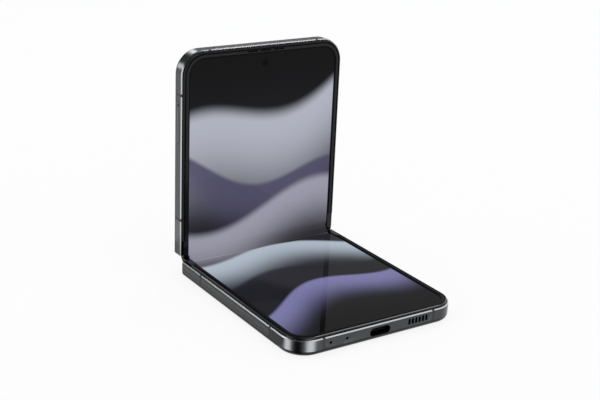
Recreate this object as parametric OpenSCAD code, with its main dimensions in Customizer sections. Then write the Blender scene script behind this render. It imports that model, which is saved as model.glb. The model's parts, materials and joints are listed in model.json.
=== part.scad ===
// Foldable smartphone, a clamshell that folds across the middle of its flexible screen.
// X is the hinge direction, the lower half lies flat towards -Y, and Z points up.
// The origin is on the lower half's rear face, at the middle of that half.

/* [Body] */
// Width across the phone, along the hinge
body_w = 71.9; // [66:0.1:78]
// Length of one half, from the fold to its far end
half_len = 82.55; // [78:0.05:90]
// Thickness of a half from its rear glass to the metal rim, without the screen surround
frame_t = 6.2; // [6.2:0.1:7]
// Radius of the outer corners
corner_r = 9.3; // [8:0.1:11]
// Radius of the rear glass where it curls up to the rim
back_round = 2.0; // [1.8:0.1:2.1]
// Polished chamfer along the rim's front edge
edge_chamfer = 0.35; // [0.3:0.05:0.6]
// Thickness of the metal side wall
wall_t = 1.5; // [1.4:0.1:1.6]
// Thickness of the rear glass
glass_t = 0.5; // [0.4:0.05:0.5]
// Width of an antenna break in the rim
band_w = 1.1; // [0.8:0.1:1.5]
// Distance from an antenna break in a long side to the end of its half
band_from_end = 16.5; // [15:0.5:20]
// Distance from the centre line to the antenna breaks in an end
band_from_mid = 24; // [22:0.5:26]

/* [Screen] */
// Height of the screen surround above the metal rim
ridge_h = 0.9; // [0.7:0.05:0.9]
// Inset of the surround's outer edge
ridge_outer = 1.05; // [1:0.05:1.2]
// Inset of the surround's inner edge
ridge_inner = 3.2; // [3:0.1:3.6]
// Height of the screen's face above the metal rim
screen_rise = 0.5; // [0.4:0.05:0.6]
// Thickness of the flat parts of the screen
panel_t = 0.7; // [0.5:0.05:0.7]
// Thickness of the part that bends
flex_t = 0.4; // [0.3:0.05:0.4]
// Length of screen that bends, on each side of the fold
bend_len = 5; // [4:0.5:6]
// Length of the glossy end caps of the surround beside the fold
cap_len = 8; // [7:0.5:9]

/* [Hinge] */
// Angle between the two screens in the modelled pose
screen_angle = 90.4; // [60:0.1:150]
// Depth of the two fold axes below the metal rim
axis_depth = 0.7; // [0.6:0.05:0.7]
// Gap left between the two surrounds when the phone is shut
shut_gap = 0.1; // [0.1:0.05:0.3]
// How far the hinge cover stands out past the halves when the phone is shut
cover_show = 2.55; // [2.4:0.05:2.6]
// Wall of the hinge cover
cover_t = 0.5; // [0.4:0.05:0.6]
// Half of the hinge cover's length
cover_half = 33.3; // [32:0.1:33.5]
// Gear module
gear_module = 0.2; // [0.2:0.01:0.2]
// Teeth on each gear
gear_teeth = 10; // [10:2:10]

/* [Ports] */
// Depth of the charging port's centre below the rim
port_depth = 2.75; // [2.6:0.05:2.9]
// Width of the port's opening
port_w = 8.34; // [8.3:0.01:8.4]
// Height of the port's opening
port_h = 2.56; // [2.5:0.01:2.6]
// Number of speaker slots
speaker_slots = 6; // [4:1:7]
// Spacing of the speaker slots
slot_pitch = 1.54; // [1.4:0.02:1.7]
// Diameter of a microphone hole
mic_d = 1.1; // [0.6:0.1:1.2]

// Distance between the centres of the earpiece slots
ear_pitch = 5.9; // [5.4:0.1:6.4]

/* [Keys and tray] */
// Distance of the volume rocker's centre from the fold
rocker_at = 57; // [54:0.5:60]
// Length of the volume rocker
rocker_len = 17; // [14:0.5:19]
// Distance of the side key's centre from the fold
key_at = 36; // [32:0.5:38]
// Length of the side key
key_len = 13; // [10:0.5:15]
// Height of both keys
key_h = 2.2; // [1.8:0.1:2.4]
// How far the keys stand proud of the rim
key_proud = 0.35; // [0.3:0.05:0.45]
// Distance of the card tray's centre from the fold
tray_at = 55.4; // [53:0.1:56]
// Length of the card tray's face
tray_len = 17; // [15:0.5:18]

/* [Cameras] */
// Distance of the rear cameras from the centre line
cam_x = 24; // [22:0.5:26]
// Distance of the outer rear camera from the far end
cam_from_end = 12; // [11:0.5:14]
// Distance between the two rear cameras
cam_pitch = 14; // [13:0.5:16]
// Outer radius of a camera ring
cam_r = 5.4; // [5:0.1:6]
// Height of a camera ring above the rear glass
cam_h = 1.0; // [0.8:0.1:1.4]

/* [Hidden] */

// Colours
metal_grey = "#5c5e61";
bezel_grey = "#2c2c2e";
screen_black = "#15151a";
glass_black = "#1b1b1e";
steel = "#a9abad";
board_green = "#1f4d36";
gold = "#c9a55a";

// Facets for round parts, and a hair of overlap for clean cuts
$fn = 48;
hair = 0.01;

// Fold geometry: two axes, side by side, below the screen
fold_half = (180 - screen_angle) / 2;
axis_out = axis_depth + ridge_h + shut_gap / 2;
cover_depth = axis_out + axis_depth + cover_show;
cover_r = cover_depth - axis_depth;
cover_in_r = cover_r - cover_t;
// Angle below the horizontal, seen from an axis, at which the cover's wall ends
cover_edge = 18;
cover_end = 1;
end_wall_top = -2.4;

// The halves in section: inset r from the outer face, height w above the metal rim
half_w = body_w / 2;
side_low = frame_t - back_round;
wall_end = 1.8;
land_r = 1.0;
plate_top = -0.25;
plate_low = -0.85;
bay_end = 6.4;
shelf_top = -1.75;
shelf_low = -2.75;
plate_start = 9.8;
support_start = 5.05;
support_t = 0.5;
lip_start = 0.1;
glass_start = 1.9;
inner_low = -frame_t + glass_t + 0.05;
flange_top = -5.3;

// Hinge mechanism along X: rails, then the guide of the arm's pin, then the gears
lower_rail_x = [21, 25];
upper_rail_x = [15, 19];
guide_x = [25.3, 26.1];
gear_x = [26.4, 28.8];
block_x = [14, 32];
rail_in_r = 2.8;
rail_out_r = 3.6;
rail_gap = 0.1;
rail_start = 24;
rail_end = 130;
pitch_r = gear_module * gear_teeth / 2;
gear_row = -2.1;
arm_pivot = 3 * pitch_r;
arm_pin = [9.2, -2.25];
pin_r = 0.3;
shaft_r = 0.35;
run_gap = 0.05;

screw_x = [17, 23];
screw_u = 8.6;
screw_r = 0.5;
screw_head_r = 0.9;
guide_turn = 92;
washer_r = 1.0;
washer_t = 0.45;
washer_pitch = 0.5;
washer_count = 3;
washer_x = 29.95;
shaft_end_x = 31.5;
shaft_x = [25.4, shaft_end_x];
// Blade of a synchroniser arm, from its gear under the screen to its pin
arm_blade = [[3.3, -1.75], [3.72, -1.25], [5.5, -1.0], [6.2, -1.85], [9.55, -1.9],
    [9.55, -2.6], [6.0, -2.6], [5.85, -1.7], [5.0, -1.72], [4.1, -2.0]];

// Ports and holes
mic_x = [-21.2, -14.3];
mic_depth = -2.3;
first_slot_x = 13.1;
slot_depth = -2.25;
slot_len = 2.4;
slot_w = 1.05;
ear_slot_len = 4.7;
ear_slot_w = 0.5;
ear_slot_from_end = 1.85;
port_shell_t = 0.25;
port_reach = 7.3;
port_inside = 6.6;
tongue_w = 6.69;
tongue_t = 0.7;

// Keys and tray
key_depth = -2.3;
key_gap = 0.06;
flange_t = 0.3;
tray_depth = -2.3;
tray_h = 2.4;
tray_plate = [14.2, 13.6, 1.0];
card = [8.8, 12.3, 0.67];
card_x = 8.9;
eject_d = 0.9;

// Cameras
front_cam_from_end = 7.1;
front_lens_r = 1.25;
front_body_r = 2.6;
ring_t = 1.0;
ring_seat_r = cam_r - 0.65;
flash_r = 1.4;
module_w = 11.5;
display_plan = [40, 32, 3];
display_x = -6;
display_from_end = 21;

// Blocks inside the halves: centre in x and u, lowest and highest w, size in x and u, corner radius
lower_battery_box = [-6, 37, -5.2, -1.1, 50, 44, 1.5];
upper_battery_box = [-8, 29, -5.2, -1.1, 48, 26, 1.5];
sub_board_box = [0, 70.5, -4.9, -4.3, 60, 15, 1];
loudspeaker_box = [17, 75.6, -4.3, -1.0, 17, 8.6, 1];
earpiece_box = [0, 79.58, -3.6, -1.0, 15, 2.9, 0.5];
shield_boxes = [[-9, 65, -4.6, -2.0, 18, 13.6, 0.6], [5.5, 51.8, -4.6, -2.0, 18, 12, 0.6]];
coil_r = [10, 20];
coil_t = 0.3;
motor_place = [-21, 69.5, -4.3];
motor_r = 4.5;
motor_h = 3.2;

/* Placing. A half is drawn in X, in u away from the fold and in w above its metal rim. */

module fold_about(side, angle)
    translate([0, side * axis_out, -axis_depth]) rotate([angle, 0, 0])
        translate([0, -side * axis_out, axis_depth]) children();

module lower_place() translate([0, half_len / 2, frame_t]) mirror([0, 1, 0]) children();

module spine_place() translate([0, half_len / 2, frame_t]) fold_about(-1, fold_half) children();

module upper_place() spine_place() fold_about(1, fold_half) children();

// Draws a u and w outline between two places along X
module across(x0, x1) translate([x0, 0, 0]) rotate([90, 0, 90]) linear_extrude(x1 - x0) children();

// Draws it on both sides of the centre line
module across_pair(span) {
    across(span[0], span[1]) children();
    across(-span[1], -span[0]) children();
}

// Draws an X and w outline between two distances from the fold
module along(u0, u1) translate([0, u1, 0]) rotate([90, 0, 0]) linear_extrude(u1 - u0) children();

/* Outlines */

// Plan of a half, pulled in by an inset, from a distance u0 to its far end
module half_outline(inset, u0) {
    cx = half_w - corner_r;
    cu = half_len - corner_r;
    translate([-(half_w - inset), u0]) square([2 * (half_w - inset), cu - u0]);
    translate([-cx, u0]) square([2 * cx, half_len - inset - u0]);
    for (s = [-1, 1]) translate([s * cx, cu]) circle(r = corner_r - inset);
}

// Sweeps a section, drawn in inset and height, along a side, the far end and the other side
module rim_sweep(u0) {
    cx = half_w - corner_r;
    cu = half_len - corner_r;
    for (s = [0, 1]) mirror([s, 0, 0]) {
        along(u0, cu) translate([half_w, 0]) mirror([1, 0]) children();
        translate([cx, cu, 0]) rotate_extrude(angle = 90)
            translate([corner_r, 0]) mirror([1, 0]) children();
    }
    across(-cx, cx) translate([half_len, 0]) mirror([1, 0]) children();
}

// Slot with round ends, longer in x
module pill(len, width) {
    square([len - width, width], center = true);
    for (s = [-1, 1]) translate([s * (len - width) / 2, 0]) circle(d = width);
}

// Rectangle with rounded corners
module soft_rect(w, l, r) {
    square([w - 2 * r, l], center = true);
    square([w, l - 2 * r], center = true);
    for (sx = [-1, 1], sy = [-1, 1]) translate([sx * (w / 2 - r), sy * (l / 2 - r)]) circle(r = r);
}

// Part of a ring about a fold axis, from angle a0 to a1, seen along X
module ring_part(r_in, r_out, a0, a1) {
    reach = 2 * r_out;
    translate([axis_out, -axis_depth]) intersection() {
        difference() {
            circle(r = r_out);
            circle(r = r_in);
        }
        polygon(concat([[0, 0]], [for (k = [0 : 6]) let (t = a0 + (a1 - a0) * k / 6)
            [reach * cos(t), reach * sin(t)]]));
    }
}

/* Metal frame of a half */

module rim_section() {
    polygon([[0, -side_low], [0, -edge_chamfer], [edge_chamfer, 0], [land_r, 0], [land_r, plate_top],
        [wall_t + 0.7, plate_top], [wall_t + 0.7, plate_low], [wall_t, plate_low], [wall_t, -side_low]]);
    // Rib that the curled edge of the rear glass is glued to
    intersection() {
        translate([back_round, -side_low]) circle(r = back_round - glass_t - 0.05);
        translate([0, inner_low]) square([back_round, -side_low - inner_low + hair]);
    }
}

// Floor, shelf and wall of the bay that the hinge turns in, seen along X
module bay_section() {
    translate([glass_start - 0.1, flange_top - 0.35]) square([bay_end + 0.9 - glass_start, 0.35]);
    translate([bay_end, inner_low]) square([0.8, shelf_top - inner_low]);
    translate([bay_end, shelf_low]) square([plate_start + 0.6 - bay_end, shelf_top - shelf_low]);
    translate([plate_start, shelf_low]) square([0.6, plate_top - shelf_low]);
}

// Metal lip that meets the other half at the rear
module rear_lip() {
    translate([-(half_w - back_round), lip_start, -frame_t])
        cube([2 * (half_w - back_round), glass_start - 0.05 - lip_start, frame_t + flange_top]);
}

// Windows that let the synchroniser arms reach under the shelf
module arm_windows()
    across_pair([guide_x[0] - 0.25, gear_x[1] + 0.3])
        translate([bay_end - 0.2, -3.6]) square([plate_start - bay_end + 0.15, 2.5]);

module rotator_screw_places() {
    for (sx = [-1, 1], x = screw_x) translate([sx * x, screw_u, 0]) children();
}

module antenna_slabs() {
    for (s = [-1, 1]) {
        for (u = [band_from_end, half_len - band_from_end])
            translate([s * half_w - 2, u - band_w / 2, -side_low - hair]) cube([4, band_w, side_low + 1]);
        translate([s * band_from_mid - band_w / 2, half_len - 2, -side_low - hair])
            cube([band_w, 4, side_low + 1]);
    }
}

module plain_frame() {
    rim_sweep(wall_end) rim_section();
    translate([0, 0, plate_low]) linear_extrude(plate_top - plate_low)
        half_outline(wall_t - 0.2, plate_start);
    across(-(half_w - wall_t + hair), half_w - wall_t + hair) bay_section();
    rear_lip();
}

module frame_cuts() {
    antenna_slabs();
    arm_windows();
    rotator_screw_places() translate([0, 0, shelf_low - 1]) cylinder(r = screw_r, h = 2);
}

module antenna_bands()
    intersection() {
        rim_sweep(wall_end) rim_section();
        antenna_slabs();
    }

module end_hole(x, w, len, width) translate([x, half_len + 1, w]) rotate([90, 0, 0])
    linear_extrude(4) rotate(90) pill(len, width);

module mic_hole(x) translate([x, half_len + 1, mic_depth]) rotate([90, 0, 0])
    cylinder(d = mic_d, h = 4);

module lower_frame() color(metal_grey) lower_place() difference() {
    plain_frame();
    frame_cuts();
    translate([0, half_len + 1, -port_depth]) rotate([90, 0, 0])
        linear_extrude(4) pill(port_w + 2 * port_shell_t + 0.1, port_h + 2 * port_shell_t + 0.1);
    for (k = [0 : speaker_slots - 1])
        end_hole(first_slot_x + k * slot_pitch, slot_depth, slot_len, slot_w);
    for (x = mic_x) mic_hole(x);
}

module upper_frame() color(metal_grey) upper_place() difference() {
    plain_frame();
    frame_cuts();
    mic_hole(mic_x[0]);
    key_window(rocker_at, rocker_len);
    key_window(key_at, key_len);
    translate([-half_w - 1, tray_at, tray_depth]) rotate([90, 0, 90]) linear_extrude(4)
        pill(tray_len + 0.1, tray_h + 0.1);
    // Front camera looks through the plate
    translate([0, half_len - front_cam_from_end, plate_low - 1]) cylinder(r = 2, h = 3);
}

module key_window(at, len) translate([half_w - 3, at, key_depth]) rotate([90, 0, 90])
    linear_extrude(4) pill(len + 2 * key_gap, key_h + 2 * key_gap);

module lower_antenna_bands() color("#4a4b4d") lower_place() antenna_bands();
module upper_antenna_bands() color("#4a4b4d") upper_place() antenna_bands();

/* Rear glass */

module rear_glass() {
    seam = 0.05;
    rim_sweep(glass_start) intersection() {
        translate([back_round, -side_low]) difference() {
            circle(r = back_round);
            circle(r = back_round - glass_t);
        }
        translate([0, -frame_t]) square([back_round, frame_t - side_low - seam]);
    }
    translate([0, 0, -frame_t]) linear_extrude(glass_t) half_outline(back_round, glass_start);
}

module lower_rear_glass() color(glass_black) lower_place() rear_glass();

module upper_rear_glass() color(glass_black) upper_place() difference() {
    rear_glass();
    cover_display_plan(0.05, glass_t + 2 * hair, -frame_t - hair);
    flash_place() translate([0, 0, -1]) cylinder(r = flash_r + 0.1, h = 3);
    camera_places() translate([0, 0, -1]) cylinder(r = ring_seat_r + run_gap, h = 3);
}

/* Screen and its surround */

module bezel_section() {
    round_out = 0.55;
    round_in = 0.3;
    top = ridge_h;
    under = screen_rise + 0.02;
    // Rounded ridge over the screen's border
    translate([ridge_outer + round_out, under])
        square([ridge_inner - ridge_outer - round_out - round_in, top - under]);
    intersection() {
        translate([ridge_outer + round_out, top - round_out]) circle(r = round_out);
        translate([ridge_outer, top - round_out]) square([round_out, round_out]);
    }
    intersection() {
        translate([ridge_inner - round_in, top - round_in]) circle(r = round_in);
        translate([ridge_inner - round_in - hair, under]) square([round_in + hair, top - under]);
    }
    // Foot beside the screen's edge, down to the plate
    translate([ridge_outer, plate_top]) square([round_out, top - round_out - plate_top]);
}

module bezel() rim_sweep(cap_len) bezel_section();

module lower_bezel() color(bezel_grey) lower_place() bezel();

module upper_bezel() color(bezel_grey) upper_place() difference() {
    bezel();
    // Three slots in front of the earpiece
    for (k = [-1, 0, 1]) translate([k * ear_pitch, half_len - ear_slot_from_end, 0])
        linear_extrude(2) pill(ear_slot_len, ear_slot_w);
}

// Glossy end cap of the surround, its end round about the fold axis
module bezel_cap_profile() {
    r = axis_out - 0.05;
    intersection() {
        translate([axis_out, -axis_depth]) circle(r = r);
        translate([0, plate_top]) square([axis_out, 2]);
    }
    translate([axis_out - hair, plate_top]) square([cap_len - axis_out + hair, ridge_h - plate_top]);
}

module bezel_caps() across_pair([half_w - ridge_inner, half_w - ridge_outer]) bezel_cap_profile();

module lower_bezel_caps() color("#0c0c0d") lower_place() bezel_caps();
module upper_bezel_caps() color("#0c0c0d") upper_place() bezel_caps();

// Flat part of the screen: full width under the surround, narrower between the end caps
module flat_screen() translate([0, 0, screen_rise - panel_t]) linear_extrude(panel_t) {
    half_outline(ridge_outer + 0.7, cap_len + 0.1);
    strip = half_w - ridge_inner - 0.15;
    translate([-strip, bend_len]) square([2 * strip, cap_len + 0.2 - bend_len]);
}

module lower_screen() color(screen_black) lower_place() flat_screen();

module upper_screen() color(screen_black) upper_place() difference() {
    flat_screen();
    translate([0, half_len - front_cam_from_end, screen_rise - panel_t - 1])
        cylinder(r = front_lens_r + 0.1, h = 1 + panel_t - 0.3);
}

// Thin metal plate glued to the screen's back where it spans the hinge bay
module support_plate() {
    strip = half_w - ridge_inner - 0.15;
    translate([-strip, support_start, screen_rise - panel_t - support_t])
        cube([2 * strip, plate_start - 0.05 - support_start, support_t]);
}

module lower_support_plate() color(steel) lower_place() support_plate();
module upper_support_plate() color(steel) upper_place() support_plate();

// The bending part leans over gradually from the half's direction to the spine's
function ease(t) = t * t * (3 - 2 * t);
function bend_point(s, depth) =
    let (turn = -fold_half * ease(1 - s / bend_len), x = s - axis_out, z = axis_depth + screen_rise - depth)
    [axis_out + x * cos(turn) - z * sin(turn), -axis_depth + x * sin(turn) + z * cos(turn)];

module bend_profile() {
    steps = 20;
    polygon(concat([for (k = [0 : steps]) bend_point(bend_len * k / steps, 0)],
        [for (k = [steps : -1 : 0]) bend_point(bend_len * k / steps, flex_t)]));
}

module fold_screen() {
    strip = half_w - ridge_inner - 0.15;
    across(-strip, strip) bend_profile();
}

module fold_screen_lower() color(screen_black) lower_place() fold_screen();
module fold_screen_upper() color(screen_black) upper_place() fold_screen();

/* Hinge spine */

// Region within a distance of the two fold axes or of the line between them, below a height
module spine_outline(r, top) {
    intersection() {
        union() {
            for (s = [-1, 1]) translate([s * axis_out, -axis_depth]) circle(r = r);
            translate([-axis_out, -axis_depth - r]) square([2 * axis_out, 2 * r]);
        }
        translate([-axis_out - r, -axis_depth - r]) square([2 * (axis_out + r), top + axis_depth + r]);
    }
}

module hinge_cover() color(metal_grey) spine_place() {
    edge = -axis_depth - cover_r * sin(cover_edge);
    difference() {
        across(-cover_half, cover_half) spine_outline(cover_r, edge);
        across(-cover_half + cover_end, cover_half - cover_end) spine_outline(cover_in_r, 0);
        // The end walls stay below the surround's end caps when the phone shuts
        across(-cover_half - 1, cover_half + 1)
            translate([-axis_out - 3, end_wall_top]) square([2 * (axis_out + 3), 3]);
    }
}

// Ring that a rail turns in, cut from a block
module rail_groove(side, span) across_pair(span) mirror([side < 0 ? 1 : 0, 0])
    ring_part(rail_in_r - rail_gap, cover_in_r + hair, 20, -rail_end - 5);

module gear_places() for (k = [-3, -1, 1, 3]) translate([k * pitch_r, gear_row]) children();

module hinge_blocks() color(steel) spine_place() difference() {
    across_pair(block_x) union() {
        spine_outline(cover_in_r, -axis_depth - cover_r * sin(cover_edge));
        spine_outline(rail_in_r - rail_gap, -0.1);
    }
    rail_groove(-1, [lower_rail_x[0] - 0.1, lower_rail_x[1] + 0.1]);
    rail_groove(1, [upper_rail_x[0] - 0.1, upper_rail_x[1] + 0.1]);
    // Gear pocket, open at the top
    across_pair([gear_x[0] - 0.1, gear_x[1] + 0.1])
        translate([-axis_out - cover_in_r, gear_row - 1.35]) square([2 * (axis_out + cover_in_r), 4]);
    // Pockets for the friction washers on the outer shafts
    across_pair([washer_x - run_gap, shaft_end_x])
        for (s = [-1, 1]) translate([s * arm_pivot, gear_row]) {
            circle(r = washer_r + 0.1);
            translate([-washer_r - 0.1, 0]) square([2 * washer_r + 0.2, 3]);
        }
    across_pair(shaft_x) gear_places() circle(r = shaft_r);
}

module gear_shafts() color(steel) spine_place() across_pair(shaft_x) gear_places() circle(r = shaft_r);

module friction_washers() color(gold) spine_place()
    for (k = [0 : washer_count - 1], s = [-1, 1]) let (x = washer_x + washer_pitch * k)
        across_pair([x, x + washer_t]) translate([s * arm_pivot, gear_row]) difference() {
            circle(r = washer_r);
            circle(r = shaft_r);
        }

/* Gears and synchroniser arms */

// One tooth's corners: radius and angle from its centre line
tooth = [[pitch_r - 0.25, -11.5], [pitch_r + 0.2, -3.6], [pitch_r + 0.2, 3.6], [pitch_r - 0.25, 11.5]];

// Gear outline with a tooth on the +x side, or a gap there
module gear_outline(gap_first) {
    step = 360 / gear_teeth;
    difference() {
        polygon([for (k = [0 : gear_teeth - 1], p = tooth) let (c = step * (k + (gap_first ? 0.5 : 0)) + p[1])
            p[0] * [cos(c), sin(c)]]);
        circle(r = shaft_r + run_gap);
    }
}

module idler_gears(side) spine_place() across_pair(gear_x) translate([side * pitch_r, gear_row])
    rotate(-side * fold_half) gear_outline(side < 0);

module lower_idler_gears() color(gold) idler_gears(-1);
module upper_idler_gears() color(gold) idler_gears(1);

// Arm with a gear at its root and a pin that slides in the half's curved guide
module arm_outline(gap_first) {
    translate([arm_pivot, gear_row]) gear_outline(gap_first);
    difference() {
        union() {
            // Plain sector where the arm joins its gear, clear of the teeth in mesh
            translate([arm_pivot, gear_row]) intersection() {
                circle(r = pitch_r + 0.2);
                polygon([[0, 0], [2, -1.2], [2, 2], [1.4, 1.65]]);
            }
            polygon(arm_blade);
        }
        translate([arm_pivot, gear_row]) circle(r = shaft_r + run_gap);
    }
}

module sync_arms(gap_first) {
    across_pair(gear_x) arm_outline(gap_first);
    across_pair([guide_x[0], gear_x[0] + hair]) translate(arm_pin) circle(r = pin_r);
}

// The arms turn with their own half, about the outer shafts
module lower_sync_arms() color(gold) spine_place() translate([0, -arm_pivot, gear_row])
    rotate([-fold_half, 0, 0]) translate([0, arm_pivot, -gear_row]) mirror([0, 1, 0]) sync_arms(false);

module upper_sync_arms() color(gold) spine_place() translate([0, arm_pivot, gear_row])
    rotate([fold_half, 0, 0]) translate([0, -arm_pivot, -gear_row]) sync_arms(true);

/* Rotators: rails about the fold axes, screwed to the halves */

// Curved guide that the arm's pin runs in, an arc of the pivot's distance from the fold axis
module guide_slot() {
    reach = norm([arm_pivot - axis_out, gear_row + axis_depth]);
    centre = [axis_out + arm_pin[0] - arm_pivot, -axis_depth + arm_pin[1] - gear_row];
    start = atan2(gear_row + axis_depth, arm_pivot - axis_out);
    gap = pin_r + run_gap;
    translate(centre) {
        intersection() {
            difference() {
                circle(r = reach + gap);
                circle(r = reach - gap);
            }
            polygon(concat([[0, 0]], [for (k = [0 : 6]) let (t = start - guide_turn * k / 6)
                4 * reach * [cos(t), sin(t)]]));
        }
        for (t = [start, start - guide_turn]) translate(reach * [cos(t), sin(t)]) circle(r = gap);
    }
}

module rotator(rail_span) {
    plate_low_w = shelf_top;
    plate_top_w = shelf_top + 0.55;
    difference() {
        union() {
            across_pair(rail_span) {
                ring_part(rail_in_r, rail_out_r, -rail_start - 3, -rail_end);
                polygon([[bay_end, plate_low_w], [bay_end, plate_top_w], [6.1, plate_top_w], [5.2, -1.5],
                    [4.4, -1.85], [4.5, -2.4], [4.85, -2.3], [5.06, plate_low_w]]);
            }
            across_pair([rail_span[0], guide_x[1]])
                translate([6.1, plate_low_w]) square([9.7 - 6.1, plate_top_w - plate_low_w]);
            across_pair(guide_x) translate([5.85, -3.5]) square([3.87, 3.5 + plate_top_w]);
        }
        across_pair([guide_x[0] - hair, guide_x[1] + hair]) guide_slot();
        rotator_screw_places() translate([0, 0, shelf_low]) cylinder(r = screw_r, h = 3);
        rotator_screw_places() translate([0, 0, plate_top_w - 0.25])
            cylinder(r = screw_head_r + run_gap, h = 1);
    }
}

module lower_rotators() color(steel) lower_place() rotator(lower_rail_x);
module upper_rotators() color(steel) upper_place() rotator(upper_rail_x);

module rotator_screws(xs) for (sx = [-1, 1], x = xs) translate([sx * x, screw_u, 0]) {
    translate([0, 0, shelf_low + 0.1]) cylinder(r = screw_r, h = shelf_top - shelf_low + 0.4);
    translate([0, 0, shelf_top + 0.3]) difference() {
        cylinder(r = screw_head_r, h = 0.25);
        translate([0, 0, 0.12]) cylinder(r = 0.4, h = 1, $fn = 6);
    }
}

module lower_rotator_screws() color(steel) lower_place() rotator_screws([screw_x[1]]);
module upper_rotator_screws() color(steel) upper_place() rotator_screws(screw_x);

/* Inside the lower half */

module inner_block(box) translate([box[0], box[1], box[2]]) linear_extrude(box[3] - box[2])
    soft_rect(box[4], box[5], box[6]);

module lower_battery() color("#3d3f42") lower_place() inner_block(lower_battery_box);

module charging_coil() color("#b8753e") lower_place()
    translate([lower_battery_box[0], lower_battery_box[1], lower_battery_box[2] - 0.1 - coil_t])
        difference() {
            cylinder(r = coil_r[1], h = coil_t);
            translate([0, 0, -1]) cylinder(r = coil_r[0], h = 3);
        }

module sub_board() color(board_green) lower_place() difference() {
    inner_block(sub_board_box);
    translate([loudspeaker_box[0], sub_board_box[1], -6]) cylinder(r = 1, h = 3);
}

module usb_receptacle() color(steel) lower_place() translate([0, half_len - 0.3, -port_depth])
    rotate([90, 0, 0]) difference() {
        linear_extrude(port_reach) pill(port_w + 2 * port_shell_t, port_h + 2 * port_shell_t);
        translate([0, 0, -hair]) linear_extrude(port_inside) pill(port_w, port_h);
    }

module usb_tongue() color("#1a1a1b") lower_place() translate([0, half_len - 1.3, -port_depth])
    rotate([90, 0, 0]) linear_extrude(5.3) square([tongue_w, tongue_t], center = true);

module loudspeaker() color("#202022") lower_place() inner_block(loudspeaker_box);

module lower_microphones() color(gold) lower_place()
    for (x = mic_x) inner_block([x, 77.8, -4.3, -3.2, 3.5, 2.6, 0.3]);

module vibration_motor() color(steel) lower_place() translate(motor_place)
    cylinder(r = motor_r, h = motor_h);

/* Inside the upper half */

module upper_battery() color("#3d3f42") upper_place() inner_block(upper_battery_box);

module main_board() color(board_green) upper_place() translate([0, 0, -2.0]) linear_extrude(0.7)
    difference() {
        translate([0, 62.5]) soft_rect(60, 35, 1.5);
        // Room for the camera module, the card reader and the front camera with the earpiece
        translate([cam_x, 64.9]) square([15.5, 32.8], center = true);
        translate([-29.4, tray_at]) square([21, 20], center = true);
        translate([0, 76.8]) square([15.4, 8.8], center = true);
    }

module board_shields() color(steel) upper_place() for (box = shield_boxes) inner_block(box);

module earpiece() color("#202022") upper_place() inner_block(earpiece_box);

module front_camera() color("#101012") upper_place() translate([0, half_len - front_cam_from_end, 0]) {
    translate([0, 0, -3.4]) cylinder(r = front_body_r, h = 2.5);
    translate([0, 0, -0.95]) cylinder(r = front_lens_r, h = 1.1);
}

module top_microphone() color(gold) upper_place()
    inner_block([mic_x[0], 78.7, -3.1, -2.0, 3.5, 2.2, 0.3]);

module key_switches() color(gold) upper_place() {
    for (p = [[rocker_at - 5, 3], [rocker_at + 5, 3], [key_at, 3.4]])
        translate([half_w - wall_t - 1.12, p[0], key_depth]) cube([1, p[1], 1.8], center = true);
    // Flexible circuit that carries the switches
    translate([half_w - wall_t - 1.85, 33, key_depth - 1.1]) cube([0.3, 31, 2.2]);
}

module sim_reader() color(steel) upper_place() difference() {
    translate([-half_w + 9.3, tray_at, -2.75]) cube([15, 16.6, 2.9], center = true);
    translate([-half_w + 8.3, tray_at, tray_depth]) cube([15.2, 14.2, 1.3], center = true);
}

/* Rear cameras and outer display */

module camera_places() for (k = [0, 1])
    translate([cam_x, half_len - cam_from_end - k * cam_pitch, -frame_t]) children();

module flash_place() translate([cam_x, half_len - cam_from_end - cam_pitch * 1.72, -frame_t]) children();

module camera_rings() color("#6b6d70") upper_place() camera_places() difference() {
    union() {
        translate([0, 0, -cam_h + 0.2]) cylinder(r = cam_r, h = cam_h - 0.2);
        translate([0, 0, -cam_h]) cylinder(r1 = cam_r - 0.2, r2 = cam_r, h = 0.2);
        cylinder(r = ring_seat_r, h = 1.2);
    }
    translate([0, 0, -cam_h - 1]) cylinder(r = cam_r - ring_t, h = 4);
}

module camera_lenses() color("#0a0a10") upper_place() camera_places()
    translate([0, 0, -cam_h + 0.15]) cylinder(r = cam_r - ring_t - run_gap, h = 0.6);

module camera_module() color("#242426") upper_place() difference() {
    inner_block([cam_x, half_len - cam_from_end - cam_pitch / 2, -4.9, -1.0,
        module_w, cam_pitch + module_w, 1]);
    camera_places() translate([0, 0, 1.0]) cylinder(r = 3, h = 1.5);
}

module camera_flash() color("#e8dfc0") upper_place() flash_place() cylinder(r = flash_r, h = 0.6);

module cover_display_plan(grow, height, low)
    translate([display_x, half_len - display_from_end, low]) linear_extrude(height)
        soft_rect(display_plan[0] + 2 * grow, display_plan[1] + 2 * grow, display_plan[2] + grow);

module cover_display() color("#08080a") upper_place() cover_display_plan(0, glass_t, -frame_t);

/* Keys and card tray */

module side_button(at, len) {
    translate([half_w - wall_t - 0.2, at, key_depth]) rotate([90, 0, 90])
        linear_extrude(wall_t + key_proud + 0.2) pill(len, key_h);
    // Flange behind the wall keeps the key in
    translate([half_w - wall_t - 0.2, at, key_depth])
        cube([flange_t, len + 0.8, key_h + 0.4], center = true);
}

module volume_rocker() color("#55575a") upper_place() side_button(rocker_at, rocker_len);
module side_key() color("#55575a") upper_place() side_button(key_at, key_len);

module sim_tray() color("#5f6164") upper_place() difference() {
    union() {
        translate([-half_w, tray_at, tray_depth]) rotate([90, 0, 90])
            linear_extrude(wall_t - 0.2) pill(tray_len, tray_h);
        translate([-half_w + 8.2, tray_at, tray_depth]) cube(tray_plate, center = true);
    }
    // Recess that holds the card
    translate([-half_w + card_x, tray_at, tray_depth + 0.5])
        cube([card[0] + 0.4, card[1] + 0.1, 1.5], center = true);
    // Hole for the eject pin
    translate([-half_w - 1, tray_at + tray_len / 2 - 2, tray_depth]) rotate([0, 90, 0])
        cylinder(d = eject_d, h = 1 + wall_t);
}

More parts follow.
